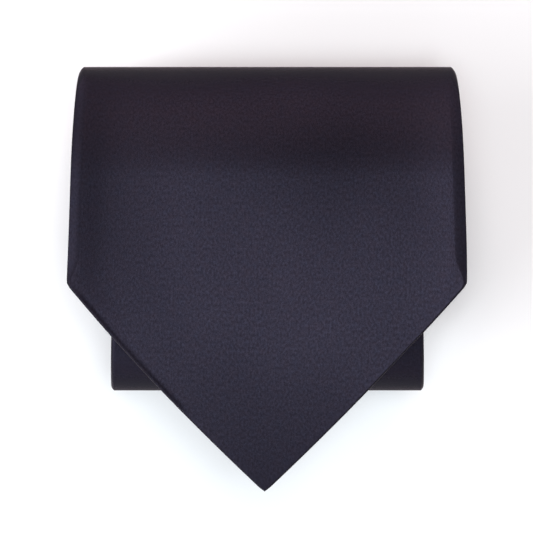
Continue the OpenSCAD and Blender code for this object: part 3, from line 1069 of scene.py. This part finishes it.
class TIE_OT_stitching(bpy.types.Operator):
    """Make the hem stitches, bar tacks, slip stitches and panel seams"""

    bl_idname = "tie.stitching"
    bl_label = "Stitching"

    def execute(self, context):
        roll = Roll(context.scene.tie_sizes)
        thread = finish_of("thread")

        def hem(name, u, at):
            """Stitches along both sides of a tipping, u from its point; at gives their s."""
            s = np.repeat(at(u), 2)
            side = np.tile([-1.0, 1.0], len(u))
            x = side * (roll.opening(s) + HEM_INSET)
            slope = (roll.opening(s + 0.5 * MM) - roll.opening(s - 0.5 * MM)) / MM
            angle = np.arctan(slope) * side
            return stitches(
                roll, name, s, x, HEM_STITCH, THREAD_WIDTH, THREAD_THICKNESS, STITCH_H, angle,
                thread, rings=7, points=6,
            )

        front = hem("blade_hem_threads", (9 + 3 * np.arange(24)) * MM, lambda u: u)
        on_blade(front, "thread", "blade_tipping_stitches")
        tail = hem("tail_hem_threads", (9 + 3.2 * np.arange(10)) * MM, lambda u: roll.length - u)
        on_roll(tail, "thread", "tail_tipping_stitches")

        def bar(name, s, half):
            """A bar tack: seven threads side by side across the seam."""
            rows = np.arange(-3, 4) * TACK_PITCH
            return stitches(
                roll, name, s + rows, 0, 2 * half, TACK_WIDTH, TACK_THICKNESS, STITCH_H,
                math.pi / 2, thread, rings=11, points=8,
            )

        blade_tack = roll.meet + 7 * MM
        tail_tack = roll.length - TAIL_MEET - 5 * MM
        on_blade(bar("blade_tack_threads", blade_tack, 4 * MM), "thread", "blade_bar_tack")
        on_roll(bar("tail_tack_threads", tail_tack, 3 * MM), "thread", "tail_bar_tack")

        slips = np.arange(blade_tack + 6 * MM, tail_tack - 6 * MM, SLIP_PITCH)
        early = slips[slips < roll.cut - 3 * MM]
        late = slips[slips > roll.cut + 3 * MM]

        def slip(name, s):
            """Slanting stitches down the seam where the flaps meet."""
            h = -roll.face * roll.fullness(s) - 0.05 * MM
            return stitches(
                roll, name, s, 0, SLIP_LENGTH, THREAD_WIDTH, THREAD_THICKNESS, h, SLIP_ANGLE, thread
            )

        on_blade(slip("slip_threads_front", early), "thread")
        on_roll(slip("slip_threads_roll", late), "thread", "slip_stitch")

        def seam(name, centre):
            """Stitches along the slanting seam between two panels."""
            half = roll.half_width(np.array([centre]))[0] - 1.2 * MM
            x = np.linspace(-half, half, 24)
            return stitches(
                roll, name, centre + PANEL_SLANT * x, x, SEAM_LENGTH, SEAM_WIDTH, SEAM_THICKNESS,
                roll.face - 0.1 * MM, math.atan(1 / PANEL_SLANT), thread,
            )

        on_roll(seam("blade_neck_threads", roll.blade_neck), "thread", "blade_neck_seam")
        on_roll(seam("neck_tail_threads", roll.neck_tail), "thread", "neck_tail_seam")
        return {"FINISHED"}


# ------------------------------------------------------------------------------- stage

FLOOR_REACH = 2.5
FLOOR_QUADS = 8
WORLD_COLOUR = (0.95, 0.95, 1, 1)
WORLD_STRENGTH = 0.25
CAMERA_HEIGHT = 0.70
CAMERA_LENS = 207
CAMERA_X = -0.2 * MM
CAMERA_Y = 1.85 * MM


def area_light(name, place, aim, wide, tall, power, tint):
    """A soft box of wide by tall metres at place, turned to face aim."""
    light = bpy.data.lights.new(name, "AREA")
    light.shape = "RECTANGLE"
    light.size, light.size_y = wide, tall
    light.energy = power
    light.color = tint
    lamp = bpy.data.objects.new(name, light)
    bpy.context.collection.objects.link(lamp)
    lamp.location = place
    lamp.rotation_euler = (Vector(aim) - Vector(place)).to_track_quat("-Z", "Y").to_euler()
    return lamp


class TIE_OT_stage(bpy.types.Operator):
    """Make the floor, the lights and the camera"""

    bl_idname = "tie.stage"
    bl_label = "Studio"

    def execute(self, context):
        scene = context.scene
        row_points = FLOOR_QUADS + 1
        side = np.linspace(-FLOOR_REACH, FLOOR_REACH, row_points)
        x, y = np.meshgrid(side, side)
        points = np.stack([x, y, 0 * x], axis=-1).reshape(-1, 3)
        quad = np.arange(FLOOR_QUADS)
        row, column = np.meshgrid(quad, quad, indexing="ij")
        first = (row * row_points + column).ravel()
        after = first + row_points
        faces = np.stack([first, first + 1, after + 1, after], axis=-1)
        mesh = bpy.data.meshes.new("studio_floor")
        mesh.from_pydata(points, [], faces)
        mesh.materials.append(floor_finish(scene.tie_colours))
        floor = bpy.data.objects.new("studio_floor", mesh)
        context.collection.objects.link(floor)

        middle = (0, 0, BEND_RADIUS)
        area_light("overhead_box", (0.05, -0.03, 1.15), middle, 0.40, 0.40, 7.7, (0.89, 0.96, 1.0))
        area_light("left_box", (-1.05, -0.42, 0.5), middle, 1.4, 0.7, 20.0, (0.92, 0.95, 1.0))
        area_light("high_fill", (0.05, 0.52, 1.05), middle, 0.5, 0.35, 1.0, (1.0, 0.78, 0.80))
        area_light("front_fill", (-0.35, -1.15, 0.3), middle, 0.9, 0.4, 2.5, (0.84, 0.90, 1.0))
        area_light("far_fill", (0.1, 1.0, 0.45), middle, 1.0, 1.1, 6.9, (1.0, 0.70, 0.66))

        world = bpy.data.worlds.new("studio_air")
        world.use_nodes = True
        background = world.node_tree.nodes["Background"]
        background.inputs["Color"].default_value = WORLD_COLOUR
        background.inputs["Strength"].default_value = WORLD_STRENGTH
        scene.world = world

        lens = bpy.data.cameras.new("camera")
        lens.lens = CAMERA_LENS
        camera = bpy.data.objects.new("camera", lens)
        context.collection.objects.link(camera)
        camera.location = (CAMERA_X, CAMERA_Y, CAMERA_HEIGHT)
        scene.camera = camera
        scene.view_settings.view_transform = "Standard"
        return {"FINISHED"}


# -------------------------------------------------------------------------------- panel

OPERATORS = (
    TIE_OT_blade_panel,
    TIE_OT_neck_and_tail,
    TIE_OT_interlining,
    TIE_OT_tippings,
    TIE_OT_keeper_loop,
    TIE_OT_labels,
    TIE_OT_stitching,
    TIE_OT_stage,
)


class TIE_PT_panel(bpy.types.Panel):
    """Lists the tie's sizes, colours and pieces in the sidebar"""

    bl_idname = "TIE_PT_panel"
    bl_label = "Rolled Necktie"
    bl_space_type = "VIEW_3D"
    bl_region_type = "UI"
    bl_category = "Necktie"

    def draw(self, context):
        for group in (context.scene.tie_sizes, context.scene.tie_colours):
            box = self.layout.box()
            for name in group.__annotations__:
                box.prop(group, name)
        for operator in OPERATORS:
            self.layout.operator(operator.bl_idname)


CLASSES = (TieSizes, TieColours, *OPERATORS, TIE_PT_panel)


def register():
    """Add the classes and the scene's settings."""
    for item in CLASSES:
        bpy.utils.register_class(item)
    bpy.types.Scene.tie_sizes = bpy.props.PointerProperty(type=TieSizes)
    bpy.types.Scene.tie_colours = bpy.props.PointerProperty(type=TieColours)


def unregister():
    """Remove the scene's settings and the classes."""
    del bpy.types.Scene.tie_colours
    del bpy.types.Scene.tie_sizes
    for item in reversed(CLASSES):
        bpy.utils.unregister_class(item)


def main():
    """Make every piece and the studio."""
    register()
    for operator in OPERATORS:
        group, name = operator.bl_idname.split(".")
        getattr(getattr(bpy.ops, group), name)()


if __name__ == "__main__":
    main()
